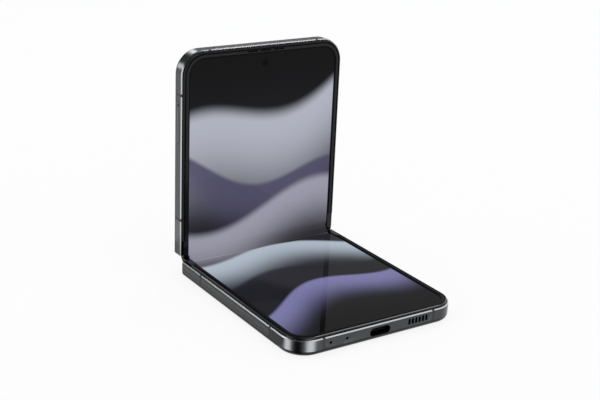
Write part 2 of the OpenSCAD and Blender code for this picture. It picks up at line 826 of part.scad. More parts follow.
module sim_card() color("#d8d8d8") upper_place()
    translate([-half_w + card_x, tray_at, tray_depth + 0.1]) cube(card, center = true);

lower_frame();
lower_antenna_bands();
lower_rear_glass();
lower_bezel();
lower_bezel_caps();
lower_screen();
lower_support_plate();
fold_screen_lower();
lower_battery();
charging_coil();
sub_board();
usb_receptacle();
usb_tongue();
loudspeaker();
lower_microphones();
vibration_motor();
lower_rotators();
lower_rotator_screws();
hinge_cover();
hinge_blocks();
gear_shafts();
friction_washers();
lower_sync_arms();
lower_idler_gears();
upper_idler_gears();
upper_sync_arms();
upper_frame();
upper_antenna_bands();
upper_rear_glass();
cover_display();
camera_rings();
camera_lenses();
camera_module();
camera_flash();
upper_bezel();
upper_bezel_caps();
upper_screen();
upper_support_plate();
fold_screen_upper();
upper_battery();
main_board();
board_shields();
earpiece();
front_camera();
top_microphone();
upper_rotators();
upper_rotator_screws();
key_switches();
sim_reader();
volume_rocker();
side_key();
sim_tray();
sim_card();
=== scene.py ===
import json
import math

import bmesh
import bpy
from mathutils import Matrix, Vector


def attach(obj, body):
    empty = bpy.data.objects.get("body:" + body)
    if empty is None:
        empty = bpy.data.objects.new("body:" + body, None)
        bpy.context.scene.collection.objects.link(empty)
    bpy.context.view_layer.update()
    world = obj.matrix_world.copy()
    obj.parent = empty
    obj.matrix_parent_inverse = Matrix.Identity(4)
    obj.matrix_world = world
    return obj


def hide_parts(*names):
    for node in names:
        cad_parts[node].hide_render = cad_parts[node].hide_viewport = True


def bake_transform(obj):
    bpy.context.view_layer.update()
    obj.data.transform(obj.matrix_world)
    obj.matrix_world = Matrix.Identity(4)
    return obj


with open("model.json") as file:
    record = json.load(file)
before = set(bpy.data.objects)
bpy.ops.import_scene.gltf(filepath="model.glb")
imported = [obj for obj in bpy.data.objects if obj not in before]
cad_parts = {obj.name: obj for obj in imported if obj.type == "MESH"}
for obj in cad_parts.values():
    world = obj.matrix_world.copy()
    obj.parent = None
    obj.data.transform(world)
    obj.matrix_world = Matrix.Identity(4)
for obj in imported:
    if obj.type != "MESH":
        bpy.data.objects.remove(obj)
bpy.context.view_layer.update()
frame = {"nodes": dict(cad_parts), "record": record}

scene = bpy.context.scene
scene.view_settings.view_transform = "Standard"

# Lengths in the settings are millimetres, and angles are degrees
mm = 0.001
tiny = 0.001                   # distances below this are nothing
halves = ("lower", "upper")
phone = {
    "width": 71.9,
    "halfLength": 82.55,
    "rimHeight": 6.2,          # rear glass to the metal rim
    "cornerRadius": 9.3,
    "screenAngle": 90.4,       # between the two halves of the screen
    "axisDepth": 0.7,          # fold axes below the rim
    "surroundHeight": 0.9,     # screen surround above the rim
    "surroundInner": 3.2,      # inner edge of the surround, from the phone's side
    "shutGap": 0.1,
    "screenRise": 0.5,         # face of the screen above the rim
    "bendLength": 5.0,         # screen that bends, on each side of the fold
    "keyRise": 0.35,           # keys above the rim's side
    "frontCameraFromEnd": 7.1,
}
halfWidth = phone["width"] / 2
axisOut = phone["axisDepth"] + phone["surroundHeight"] + phone["shutGap"] / 2
foldHalf = math.radians(180 - phone["screenAngle"]) / 2


# Places. A half is made in x, in the distance u from the fold and in the height w above its rim
def turnAbout(y, z, angle):
    pivot = Matrix.Translation(Vector((0, y, z)))
    return pivot @ Matrix.Rotation(angle, 4, "X") @ pivot.inverted()


raised = Matrix.Translation(Vector((0, phone["halfLength"] / 2, phone["rimHeight"])))
lowerPlace = raised @ Matrix.Scale(-1, 4, Vector((0, 1, 0)))
spinePlace = raised @ turnAbout(-axisOut, -phone["axisDepth"], foldHalf)
upperPlace = spinePlace @ turnAbout(axisOut, -phone["axisDepth"], foldHalf)
places = {"lower": lowerPlace, "upper": upperPlace}


def fromHalf(half, x, u, w):
    # A point of a half, in metres in the shared frame
    return (places[half] @ Vector((x, u, w))) * mm


def toHalf(half):
    # The way back, from metres to the half's own millimetres
    return places[half].inverted() @ Matrix.Scale(1 / mm, 4)


def upOf(half):
    return places[half].to_3x3() @ Vector((0, 0, 1))


# Camera, turned about its own line of sight by the roll
viewSettings = {
    "position": (-236.65, -336.045, 187.89),
    "target": (3.35, 17.925, 32.54),
    "lens": 70.945,
    "sensor": 36.0,
    "roll": 2.71,
    "nearest": 10,
    "furthest": 20000,
}


def makeCamera(settings):
    position = Vector(settings["position"]) * mm
    back = (position - Vector(settings["target"]) * mm).normalized()
    level = Vector((0, 0, 1)).cross(back).normalized()
    upright = back.cross(level)
    roll = math.radians(settings["roll"])
    right = level * math.cos(roll) + upright * math.sin(roll)
    turned = Matrix((right, back.cross(right), back)).transposed().to_4x4()
    data = bpy.data.cameras.new("photoCamera")
    data.lens = settings["lens"]
    data.sensor_width = settings["sensor"]
    data.clip_start = settings["nearest"] * mm
    data.clip_end = settings["furthest"] * mm
    camera = bpy.data.objects.new("photoCamera", data)
    camera.matrix_world = Matrix.Translation(position) @ turned
    scene.collection.objects.link(camera)
    scene.camera = camera


makeCamera(viewSettings)
print("camera placed")


def linearColour(hexColour):
    channels = [int(hexColour[i:i + 2], 16) / 255 for i in (1, 3, 5)]
    return [c / 12.92 if c <= 0.04045 else ((c + 0.055) / 1.055) ** 2.4 for c in channels] + [1.0]


white = linearColour("#ffffff")
firstColour, secondColour, mixedColour = 6, 7, 2        # two inputs and an output of a colour Mix node


# Adds a node. A value that is a socket is linked, a node gives its first output, any other value is set
def addNode(tree, kind, values=None, **settings):
    node = tree.nodes.new("ShaderNode" + kind)
    for name, setting in settings.items():
        setattr(node, name, setting)
    for name, value in (values or {}).items():
        if isinstance(value, bpy.types.Node):
            value = value.outputs[0]
        if isinstance(value, bpy.types.NodeSocket):
            tree.links.new(value, node.inputs[name])
        else:
            node.inputs[name].default_value = value
    return node


def newMaterial(name):
    material = bpy.data.materials.new(name)
    material.use_nodes = True
    material.node_tree.nodes.clear()
    return material, material.node_tree


# Soft lamps round the phone, none of them where the rim would mirror it to the camera
lightSettings = {
    "lamps": {
        # place in metres, size in metres, power
        "overhead": ((0.1, 0.15, 1.3), 1.3, 4.4),
        "leftWall": ((-1.1, 0.5, 0.55), 0.9, 2.0),
        "rightWall": ((1.1, 0.6, 0.7), 0.8, 1.6),
    },
    "aim": (0, 0, 0.03),      # in metres
    "worldColour": "#f2f3f6",
    "worldStrength": 0.8,
}


def makeLamp(name, place, size, power):
    data = bpy.data.lights.new(name, "AREA")
    data.shape = "SQUARE"
    data.size = size
    data.energy = power
    lamp = bpy.data.objects.new(name, data)
    facing = (Vector(place) - Vector(lightSettings["aim"])).to_track_quat("Z", "Y")
    lamp.matrix_world = Matrix.Translation(place) @ facing.to_matrix().to_4x4()
    scene.collection.objects.link(lamp)


for lampName, lampValues in lightSettings["lamps"].items():
    makeLamp(lampName, *lampValues)


def seenDirectly(tree):
    # 1 where the camera looks, straight or by way of metal or glass
    path = addNode(tree, "LightPath")
    seen = addNode(tree, "Math", {0: path.outputs["Is Camera Ray"], 1: path.outputs["Is Glossy Ray"]},
                   operation="MAXIMUM")
    return addNode(tree, "Math", {0: seen, 1: path.outputs["Is Transmission Ray"]}, operation="MAXIMUM")


def makeWorld(settings):
    world = bpy.data.worlds.new("studio")
    world.use_nodes = True
    tree = world.node_tree
    tree.nodes.clear()
    studio = addNode(tree, "Background", {"Color": linearColour(settings["worldColour"]),
                                          "Strength": settings["worldStrength"]})
    plain = addNode(tree, "Background", {"Color": white, "Strength": 1.0})
    mixed = addNode(tree, "MixShader", {0: seenDirectly(tree), 1: studio, 2: plain})
    addNode(tree, "OutputWorld", {"Surface": mixed})
    scene.world = world


makeWorld(lightSettings)
print("light ready")

# Floor: pale paint that keeps the phone's soft shadow, lifted to white where the camera sees it
floorSettings = {"size": 6000, "paint": "#f6f6f7", "lift": 0.86, "contactGap": 0.02}


def floorMaterial(settings):
    # Matte white backdrop paint: even, with no sheen
    material, tree = newMaterial("backdropPaint")
    paint = addNode(tree, "BsdfDiffuse", {"Color": linearColour(settings["paint"])})
    plain = addNode(tree, "Emission", {"Color": white, "Strength": 1.0})
    lift = addNode(tree, "Math", {0: seenDirectly(tree), 1: settings["lift"]}, operation="MULTIPLY")
    mixed = addNode(tree, "MixShader", {0: lift, 1: paint, 2: plain})
    addNode(tree, "OutputMaterial", {"Surface": mixed})
    return material


def stageObject(name, shape, material):
    mesh = bpy.data.meshes.new(name)
    shape.to_mesh(mesh)
    shape.free()
    mesh.materials.append(material)
    stage = bpy.data.objects.new(name, mesh)
    scene.collection.objects.link(stage)
    return stage


def makeFloor(settings):
    shape = bmesh.new()
    bmesh.ops.create_grid(shape, x_segments=1, y_segments=1, size=settings["size"] * mm / 2)
    bmesh.ops.translate(shape, verts=shape.verts, vec=(0, 0, -settings["contactGap"] * mm))
    floor = stageObject("studioFloor", shape, floorMaterial(settings))
    floor.visible_glossy = False        # the rim mirrors the cards below instead


# Studio cards that only reflections see. Far ones stand round the table and have plain edges, near ones
# stand by a corner of the rim and fade out at their edges
cardSettings = {
    "steps": 20,
    "walls": {
        # centre, distance, azimuth span, height span, brightness
        "cornerFlag": ((-33, -38, 3), 100, (186, 246), (-300, 12), 0.0),
        "cornerLeftStrip": ((-33, -38, 3), 48, (144, 188), (-35, -12), 8.5),
        "cornerFrontStrip": ((-33, -38, 3), 100, (248, 302), (-68, -26), 9.2),
        "backFlag": ((0, 0, 0), 2000, (34, 108), (-70, 1130), 0.45),
        "slopeFlag": ((0, 0, 0), 2000, (38, 82), (1130, 1690), 0.1),
        "leftCrestCard": ((0, 0, 0), 2000, (80, 108), (1300, 1950), 3.0),
        "leftBackFlag": ((0, 0, 0), 2000, (102, 142), (20, 980), 0.02),
        "viewerFlag": ((0, 0, 0), 2000, (208, 256), (800, 3200), 0.03),
        "crestCard": ((0, 0, 0), 2000, (-14, 28), (2200, 4000), 11.0),
    },
    "roofs": {
        # centre, half size along x and y, brightness, soft edges or not
        "topEdgeRoof": ((30, 15, 135), (130, 46), 0.36, True),
        "topCornerRoof": ((-56, 8, 134), (72, 40), 0.02, True),
        "cornerRoof": ((-97, -58, 141), (100, 110), 0.02, True),
        # Painted shadow: a grey card below the floor by the lower half, which the rim's side mirrors in
        # place of the phone's shadow on the floor
        "contactShadowCard": ((-52, 28, -2), (18, 54), 0.55, False),
    },
    "screens": {
        # centre, half size along x and z, brightness, soft edges or not
        "topCornerFlag": ((-50, 120, 129), (25, 26), 0.0, True),
        "topCornerSideStrip": ((-78, 120, 98), (13, 15), 8.5, True),
        "topCornerEndStrip": ((-13, 120, 130), (13, 17), 6.4, True),
    },
    "softEdge": 0.3,      # share of a near card's width over which it fades out at each side
    "farDistance": 1000,  # walls further off have plain edges
}


def cardMaterial(name, brightness):
    # Plain card, black cloth or a diffuser lit from behind, that fades out at its edges
    material, tree = newMaterial(name)
    glow = addNode(tree, "Emission", {"Color": white, "Strength": brightness})
    clear = addNode(tree, "BsdfTransparent", {"Color": white})
    cover = addNode(tree, "Attribute", attribute_name="cardCover").outputs["Fac"]
    mixed = addNode(tree, "MixShader", {0: cover, 1: clear, 2: glow})
    addNode(tree, "OutputMaterial", {"Surface": mixed})
    return material


def stageCard(name, shape, centre, brightness):
    bmesh.ops.translate(shape, verts=shape.verts, vec=Vector(centre) * mm)
    card = stageObject(name, shape, cardMaterial(name, brightness))
    card.visible_camera = False
    card.visible_diffuse = False
    card.visible_shadow = False


def fadeTo(share):
    # 0 at both ends of a card, 1 in its middle
    return min(1, min(share, 1 - share) / cardSettings["softEdge"])


def makeWallCard(name, centre, distance, azimuth, height, brightness):
    shape = bmesh.new()
    cover = shape.verts.layers.float.new("cardCover")
    foot = shape.verts.new((distance * mm, 0, height[0] * mm))
    top = shape.verts.new((distance * mm, 0, height[1] * mm))
    edge = shape.edges.new((foot, top))
    span = azimuth[1] - azimuth[0]
    bmesh.ops.spin(shape, geom=[foot, top, edge], axis=(0, 0, 1), steps=cardSettings["steps"],
                   angle=math.radians(span), use_duplicate=False)
    for vert in shape.verts:
        share = min(1, max(0, math.degrees(math.atan2(vert.co.y, vert.co.x)) / span))
        vert[cover] = 1 if distance > cardSettings["farDistance"] else fadeTo(share)
    bmesh.ops.rotate(shape, verts=shape.verts, matrix=Matrix.Rotation(math.radians(azimuth[0]), 3, "Z"))
    stageCard(name, shape, centre, brightness)


def makeFlatCard(name, centre, halfSize, brightness, soft, standing):
    shape = bmesh.new()
    cover = shape.verts.layers.float.new("cardCover")
    bmesh.ops.create_grid(shape, x_segments=cardSettings["steps"], y_segments=cardSettings["steps"], size=1)
    for vert in shape.verts:
        vert[cover] = min(fadeTo((vert.co.x + 1) / 2), fadeTo((vert.co.y + 1) / 2)) if soft else 1
    bmesh.ops.scale(shape, verts=shape.verts, vec=(halfSize[0] * mm, halfSize[1] * mm, 1))
    if standing:
        bmesh.ops.rotate(shape, verts=shape.verts, matrix=Matrix.Rotation(math.radians(90), 3, "X"))
    stageCard(name, shape, centre, brightness)


makeFloor(floorSettings)
for cardName, cardValues in cardSettings["walls"].items():
    makeWallCard(cardName, *cardValues)
for kind in ("roofs", "screens"):
    for cardName, cardValues in cardSettings[kind].items():
        makeFlatCard(cardName, *cardValues, standing=kind == "screens")
print("floor and cards placed")

# Finishes: a slow cloud drifts the tone, and on metal the roughness too, and a fine grain gives the bump
finishSettings = {
    "metalCloud": 9,              # size of the cloud's patches
    "plasticCloud": 7,
    "cloudDetail": 3.0,
    "roughnessSpread": (0.9, 1.12),
    "grainDetail": 2.0,
    "grainDepth": 0.02,
    "plasticIor": 1.5,
}


def cloudedTint(tree, size, colour, paler):
    place = addNode(tree, "TexCoord")
    cloud = addNode(tree, "TexNoise", {"Vector": place.outputs["Object"], "Scale": 1 / (size * mm),
                                       "Detail": finishSettings["cloudDetail"]})
    tint = addNode(tree, "Mix", {"Factor": cloud, firstColour: linearColour(colour),
                                 secondColour: linearColour(paler)}, data_type="RGBA")
    return cloud, tint.outputs[mixedColour]


def grainBump(tree, grain, strength):
    place = addNode(tree, "TexCoord")
    noise = addNode(tree, "TexNoise", {"Vector": place.outputs["Object"], "Scale": 1 / (grain * mm),
                                       "Detail": finishSettings["grainDetail"]})
    return addNode(tree, "Bump", {"Height": noise, "Strength": strength,
                                  "Distance": finishSettings["grainDepth"] * mm})


def metalFinish(name, colour, paler, roughness, grain, strength):
    material, tree = newMaterial(name)
    cloud, tint = cloudedTint(tree, finishSettings["metalCloud"], colour, paler)
    smoother, rougher = finishSettings["roughnessSpread"]
    rough = addNode(tree, "MapRange", {"Value": cloud, "To Min": roughness * smoother,
                                       "To Max": roughness * rougher})
    shader = addNode(tree, "BsdfPrincipled", {"Base Color": tint, "Metallic": 1.0, "Roughness": rough,
                                              "Normal": grainBump(tree, grain, strength)})
    addNode(tree, "OutputMaterial", {"Surface": shader})
    return material


def plasticFinish(name, colour, paler, roughness, grain, strength, specular=0.5):
    material, tree = newMaterial(name)
    tint = cloudedTint(tree, finishSettings["plasticCloud"], colour, paler)[1]
    shader = addNode(tree, "BsdfPrincipled", {
        "Base Color": tint, "Roughness": roughness, "IOR": finishSettings["plasticIor"],
        "Specular IOR Level": specular, "Normal": grainBump(tree, grain, strength)})
    addNode(tree, "OutputMaterial", {"Surface": shader})
    return material


# Name, colour, paler tone, roughness, grain in mm, strength of the bump and, on plastic and glass, specular
# level. Blasted, moulded and cast grain is about 0.05 mm: it is drawn at 0.2 mm or more, so that it shows

# Anodised aluminium, blasted first: an even dark grey sheen with no visible grain direction
anodisedGraphite = metalFinish("anodisedGraphite", "#46484a", "#4b4d4f", 0.24, 0.35, 0.006)
# Diamond-cut chamfer: the cutter leaves it bright, so it draws the line of light along the rim
cutChamfer = metalFinish("diamondCutChamfer", "#c0c2c6", "#cbccd0", 0.22, 0.8, 0.003)
# Moulded glass-filled resin in the antenna breaks: a flat grey that doesn't glint with the metal
antennaResin = plasticFinish("mouldedAntennaResin", "#303133", "#363739", 0.5, 0.3, 0.08, 0.3)
# Moulded polycarbonate surround with a spark-eroded texture: it looks soft and dark beside the screen
surroundPlastic = plasticFinish("texturedSurroundPlastic", "#101012", "#151517", 0.19, 0.25, 0.03, 0.22)
# Painted shade: a darker, less glossy copy of the surround plastic for the groove, the step beside the
# screen and the top of the lower half's ridge, so that no light shows along them
surroundShadeCopy = plasticFinish("shadedSurroundCopy", "#0c0c0e", "#101012", 0.22, 0.25, 0.03, 0.04)
# Painted shade: the walls inside the holes and the earpiece slots are coloured near black, as they look in
# shade
holeShade = plasticFinish("shadedHoleWall", "#060607", "#0a0a0b", 0.6, 0.3, 0.05, 0.05)
# Glossy elastomer caps: black with crisp highlights
capElastomer = plasticFinish("glossyCapElastomer", "#050506", "#08080a", 0.12, 1.5, 0.02, 0.3)
# Strengthened glass over dark ink: deep grey with sharp reflections
rearGlass = plasticFinish("inkedRearGlass", "#0b0b0d", "#0f0f12", 0.06, 6.0, 0.01, 0.22)
# The same glass over an unlit display and round the lenses: blacker, with slightly softer reflections
displayGlass = plasticFinish("blackDisplayGlass", "#020203", "#040406", 0.1, 8.0, 0.01, 0.3)
# Polished and coated lens glass: black with a trace of blue and the sharpest highlights of all
lensGlass = plasticFinish("coatedLensGlass", "#020208", "#050614", 0.03, 8.0, 0.01, 0.5)
# Moulded, frosted flash cover: warm cream that scatters the light behind it
flashLens = plasticFinish("frostedFlashLens", "#e9e0c2", "#f0e8d0", 0.25, 0.4, 0.3)
# Painted shade: the steel shell and the tongue deep in the port are coloured near black and barely reflect,
# as they look in shade
portShellShade = plasticFinish("shadedPortShell", "#08080a", "#0c0c0e", 0.5, 0.3, 0.05, 0.05)
# Machined spring steel of the hinge and the shields: pale grey, a little rough from the cutter
springSteel = metalFinish("machinedSteel", "#a6a8aa", "#b4b6b8", 0.28, 0.25, 0.1)
# Sintered brass of the gears and contacts: dull yellow with a fine powder grain
gearBrass = metalFinish("sinteredBrass", "#b8964c", "#c7a65c", 0.34, 0.2, 0.1)
# Enamelled copper wire, wound flat: warm red-brown with a broken sheen
copperWire = metalFinish("enamelledCopper", "#a4603a", "#b8724a", 0.35, 0.3, 0.25)
# Moulded black plastic of the modules: half matte, with the mould's grain
blackPlastic = plasticFinish("mouldedBlackPlastic", "#151517", "#1b1b1d", 0.45, 0.3, 0.2)
# Laminated foil round the batteries: grey with a loose crinkle
batteryFoil = plasticFinish("batteryFoil", "#35373a", "#3e4043", 0.4, 2.5, 0.3)
# Solder mask printed on the boards: deep green, half glossy
solderMask = plasticFinish("greenSolderMask", "#16402c", "#1d4c36", 0.35, 0.8, 0.2)
# Moulded white card: even and almost matte
cardPlastic = plasticFinish("whiteCard", "#d4d4d2", "#dededc", 0.45, 1.0, 0.05)
# Gold-plated contacts: pale yellow with a soft shine
platedContact = metalFinish("platedContact", "#a98f52", "#b89d5e", 0.3, 0.2, 0.05)

# How a CAD node's triangles are merged before they are shaded smooth or cut
mergeSettings = {"gap": 0.002, "flatAngle": 0.4}


def nodeBody(nodeName):
    return next(body for body, names in frame["record"]["behaviour"]["bodies"].items() if nodeName in names)


def mergedCopy(nodeName):
    shape = bmesh.new()
    shape.from_mesh(frame["nodes"][nodeName].data)
    bmesh.ops.remove_doubles(shape, verts=shape.verts, dist=mergeSettings["gap"] * mm)
    bmesh.ops.dissolve_limit(shape, angle_limit=math.radians(mergeSettings["flatAngle"]), verts=shape.verts,
                             edges=shape.edges)
    return shape


# Makes the piece, smooth up to an angle. It rides with the node's body and stands for the node, or not
def finishPiece(name, shape, materials, nodeName, smoothAngle=30, rides=True, replaces=True):
    mesh = bpy.data.meshes.new(name)
    shape.to_mesh(mesh)
    shape.free()
    mesh.shade_smooth()
    mesh.set_sharp_from_angle(angle=math.radians(smoothAngle))
    for material in materials:
        mesh.materials.append(material)
    piece = bpy.data.objects.new(name, mesh)
    scene.collection.objects.link(piece)
    if rides:
        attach(piece, nodeBody(nodeName))
    if replaces:
        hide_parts(nodeName)
    return piece


# Rims: the frames, with the chamfer's faces found by their height and tilt in the half's own place
rimSettings = {
    "chamferDepth": 0.4,
    "chamferWidth": 1,             # how far in from the phone's side a cut face may lie
    "chamferTilt": (0.5, 0.9),     # upward part of a cut face's normal
    "wall": (0.08, 1.46),          # insets between which a face is the wall of a hole
    "holeHeights": (-4.2, -0.5),   # the same, measured from the rim's face
    "holesFromFold": 1.9,
    "smoothAngle": 40,
}


def insetOf(x, u):
    # Distance from the phone's side, round its corners too
    cornerX = abs(x) - (halfWidth - phone["cornerRadius"])
    cornerU = u - (phone["halfLength"] - phone["cornerRadius"])
    if cornerX > 0 and cornerU > 0:
        return phone["cornerRadius"] - math.hypot(cornerX, cornerU)
    return min(halfWidth - abs(x), phone["halfLength"] - u)


def between(value, limits):
    return limits[0] < value < limits[1]


def makeRim(half, settings):
    nodeName = half + "_frame"
    shape = mergedCopy(nodeName)
    inHalf = toHalf(half)
    for face in shape.faces:
        centre = inHalf @ face.calc_center_median()
        tilt = (inHalf.to_3x3() @ face.normal).normalized().z
        inset = insetOf(centre.x, centre.y)
        onChamfer = inset < settings["chamferWidth"] and between(centre.z, (-settings["chamferDepth"], 0))
        inHole = between(inset, settings["wall"]) and between(centre.z, settings["holeHeights"])
        if onChamfer and between(tilt, settings["chamferTilt"]):
            face.material_index = 1
        else:
            # Painted shade: the walls of the holes take the near-black holeShade
            face.material_index = 2 if inHole and centre.y > settings["holesFromFold"] else 0
    finishPiece(half + "Rim", shape, [anodisedGraphite, cutChamfer, holeShade], nodeName,
                settings["smoothAngle"])


for half in halves:
    makeRim(half, rimSettings)
print("rims cut")

# Surround: a thin lip over the rim's land, a steep outer wall with a rounded crest, a groove behind it, the
# ridge, and a step down to the screen. Its foot reaches a little below the rim's face
surroundSettings = {
    "start": 8.0,             # its ends, from the fold
    "cornerSteps": 16,
    "section": (
        # inset from the phone's side, height above the rim, rounding
        (0.42, -0.02, 0), (0.42, 0.05, 0), (0.68, 0.08, 0), (0.72, 0.73, 0.03), (1.06, 0.9, 0.03),
        (1.16, 0.88, 0), (1.22, 0.56, 0), (1.58, 0.56, 0), (1.66, 0.9, 0.05), (2.72, 0.9, 0.1),
        (2.8, 0.62, 0.04), (3.12, 0.56, 0), (3.12, 0.5, 0), (1.72, 0.5, 0), (1.72, -0.24, 0),
        (1.02, -0.24, 0), (1.02, -0.02, 0)),
    "roundSteps": 5,
    # Painted shade: the groove, the step from innerStep inwards and, on the lower half, the ridge's top
    # from ridgeFrom get the darker, less glossy copy
    "groove": (1.17, 1.65),
    "innerStep": 2.76,        # from here inwards the step beside the screen is matte on both halves
    "ridgeTop": 0.84,         # height from which a face is on top of the crest or the ridge
    "ridgeFrom": 1.6,         # inset from which the lower half's ridge is matte on top
    "smoothAngle": 35,
    # earpiece slots in the ridge of the upper half
    "slots": {"count": 3, "pitch": 5.9, "length": 4.7, "width": 0.56, "fromEnd": 2.05, "floor": 0.54,
              "cutTop": 2.0, "margin": 0.01, "roundSteps": 24},
}


def vertsIn(geometry):
    return [part for part in geometry if isinstance(part, bmesh.types.BMVert)]


def edgesIn(geometry):
    # Only the edges with both ends in the geometry
    found = set(geometry)
    return [part for part in geometry
            if isinstance(part, bmesh.types.BMEdge) and all(vert in found for vert in part.verts)]


def sectionEdges(shape, settings):
    # Section standing at the start of the sweep, its corners rounded one by one
    section = settings["section"]
    verts = [shape.verts.new((inset - halfWidth, settings["start"], height))
             for inset, height, rounding in section]
    shape.faces.new(verts)
    for vert, (inset, height, rounding) in zip(verts, section):
        if rounding:
            bmesh.ops.bevel(shape, geom=[vert], offset=rounding, segments=settings["roundSteps"],
                            profile=0.5, affect="VERTICES", material=-1)
    bmesh.ops.delete(shape, geom=shape.faces[:], context="FACES_ONLY")
    return shape.edges[:]


def drawOn(shape, edges, step):
    grown = bmesh.ops.extrude_edge_only(shape, edges=edges)["geom"]
    bmesh.ops.translate(shape, verts=vertsIn(grown), vec=step)
    return edgesIn(grown)


def turnCorner(shape, edges, centre, steps):
    verts = list({vert for edge in edges for vert in edge.verts})
    turned = bmesh.ops.spin(shape, geom=verts + edges, cent=centre, axis=(0, 0, 1), steps=steps,
                            angle=math.radians(-90), use_duplicate=False)
    return edgesIn(turned["geom_last"])


def sweepRound(settings):
    # Up one side, round the corner, along the end, round the other corner and down again
    shape = bmesh.new()
    edges = sectionEdges(shape, settings)
    cornerX, cornerU = halfWidth - phone["cornerRadius"], phone["halfLength"] - phone["cornerRadius"]
    edges = drawOn(shape, edges, (0, cornerU - settings["start"], 0))
    edges = turnCorner(shape, edges, (-cornerX, cornerU, 0), settings["cornerSteps"])
    edges = drawOn(shape, edges, (2 * cornerX, 0, 0))
    edges = turnCorner(shape, edges, (cornerX, cornerU, 0), settings["cornerSteps"])
    drawOn(shape, edges, (0, settings["start"] - cornerU, 0))
    bmesh.ops.holes_fill(shape, edges=[edge for edge in shape.edges if edge.is_boundary], sides=0)
    return shape


def intoPlace(shape, half):
    bmesh.ops.transform(shape, matrix=Matrix.Scale(mm, 4) @ places[half], verts=shape.verts)
    bmesh.ops.recalc_face_normals(shape, faces=shape.faces)


def slotCutter(x, u, slots):
    # Upright prism with round ends
    shape = bmesh.new()
    disc = bmesh.ops.create_circle(shape, cap_ends=True, segments=slots["roundSteps"],
                                   radius=slots["width"] / 2)["verts"]
    for side in (-1, 1):
        end = [vert for vert in disc if vert.co.x * side > tiny]
        bmesh.ops.translate(shape, verts=end, vec=(side * (slots["length"] - slots["width"]) / 2, 0, 0))
    grown = bmesh.ops.extrude_face_region(shape, geom=shape.faces[:])["geom"]
    bmesh.ops.translate(shape, verts=vertsIn(grown), vec=(0, 0, slots["cutTop"] - slots["floor"]))
    bmesh.ops.translate(shape, verts=shape.verts, vec=(x, u, slots["floor"]))
    return shape


def cutAway(shape, cutter):
    # Exact cut of one bmesh by another
    made = []
    for part in (shape, cutter):
        bmesh.ops.recalc_face_normals(part, faces=part.faces)
        mesh = bpy.data.meshes.new("cutPart")
        part.to_mesh(mesh)
        part.free()
        made.append(bpy.data.objects.new("cutPart", mesh))
        scene.collection.objects.link(made[-1])
    cut = made[0].modifiers.new("cut", "BOOLEAN")
    cut.object, cut.operation, cut.solver = made[1], "DIFFERENCE", "EXACT"
    bpy.context.view_layer.update()
    result = bmesh.new()
    result.from_mesh(made[0].evaluated_get(bpy.context.evaluated_depsgraph_get()).data)
    for part in made:
        mesh = part.data
        bpy.data.objects.remove(part)
        bpy.data.meshes.remove(mesh)
    return result


def makeSurround(half, settings):
    shape = sweepRound(settings)
    slots = settings["slots"]
    slotU = phone["halfLength"] - slots["fromEnd"]
    slotHeights = (slots["floor"] - slots["margin"], settings["ridgeTop"])
    slotReach = slots["width"] / 2 + slots["margin"]
    if half == "upper":
        for k in range(slots["count"]):
            slotX = (k - (slots["count"] - 1) / 2) * slots["pitch"]
            shape = cutAway(shape, slotCutter(slotX, slotU, slots))
    for face in shape.faces:
        centre = face.calc_center_median()
        inset = insetOf(centre.x, centre.y)
        onRidge = half == "lower" and centre.z > settings["ridgeTop"] and inset > settings["ridgeFrom"]
        inGroove = centre.z < settings["ridgeTop"] and between(inset, settings["groove"])
        # Painted shade: the groove, the inner step and the lower half's ridge top take the darker copy
        face.material_index = int(onRidge or inGroove or inset > settings["innerStep"])
        # Painted shade: the slots' walls and floors take the near-black holeShade
        if half == "upper" and abs(centre.y - slotU) < slotReach and between(centre.z, slotHeights):
            face.material_index = 2
    intoPlace(shape, half)
    finishPiece(half + "Surround", shape, [surroundPlastic, surroundShadeCopy, holeShade], half + "_bezel",
                settings["smoothAngle"])


for half in halves:
    makeSurround(half, surroundSettings)
print("surrounds moulded")

# Screen: soft waves on a map in millimetres, x across and s along the unfolded screen from the fold
screenSettings = {
    "blackBorder": 0.15,        # unlit edge inside the surround
    "litCorner": 5.6,
    "litEdge": (-0.15, 0.1),    # the light fades out from inside to outside the corner's radius
    "cameraWindow": (1.3, 1.45),  # black up to the first radius, lit from the second
    "waves": (
        # place s, swing, wave length, phase, slope, crest width, tail, colour, strength
        (-60.0, 9.0, 104.0, 0.6, -0.34, 3.5, 26.0, "#b3b6c3", 0.95),
        (-33.0, 7.0, 86.0, 1.9, 0.16, 1.3, 15.0, "#4b4763", 0.9),
        (-17.0, 6.0, 92.0, 3.0, -0.10, 2.2, 15.0, "#a3a2b2", 0.85),
        (9.0, 7.0, 88.0, 4.1, 0.14, 1.5, 14.0, "#b3bfcc", 0.9),
        (31.0, 6.0, 76.0, 5.5, -0.06, 1.8, 11.0, "#1c1c21", 0.85),
        (47.0, 6.5, 72.0, 5.0, -0.24, 1.2, 12.0, "#8280b0", 0.85),
    ),
    "middleFade": (20.0, 80.0),   # from day to night colour, away from the fold
    "nightColour": "#0c0c0d",
    "dayColour": "#232228",
    "unlitColour": "#050506",
    "film": {"Roughness": 0.04, "IOR": 1.5, "Specular IOR Level": 0.06},
    "leastUp": 0.3,             # faces that look up less than this are unlit
}


def distanceOn(tree, across, along):
    # Straight distance, from its two parts on the map
    squares = [addNode(tree, "Math", {0: part, 1: 2.0}, operation="POWER") for part in (across, along)]
    total = addNode(tree, "Math", {0: squares[0], 1: squares[1]}, operation="ADD")
    return addNode(tree, "Math", {0: total}, operation="SQRT")


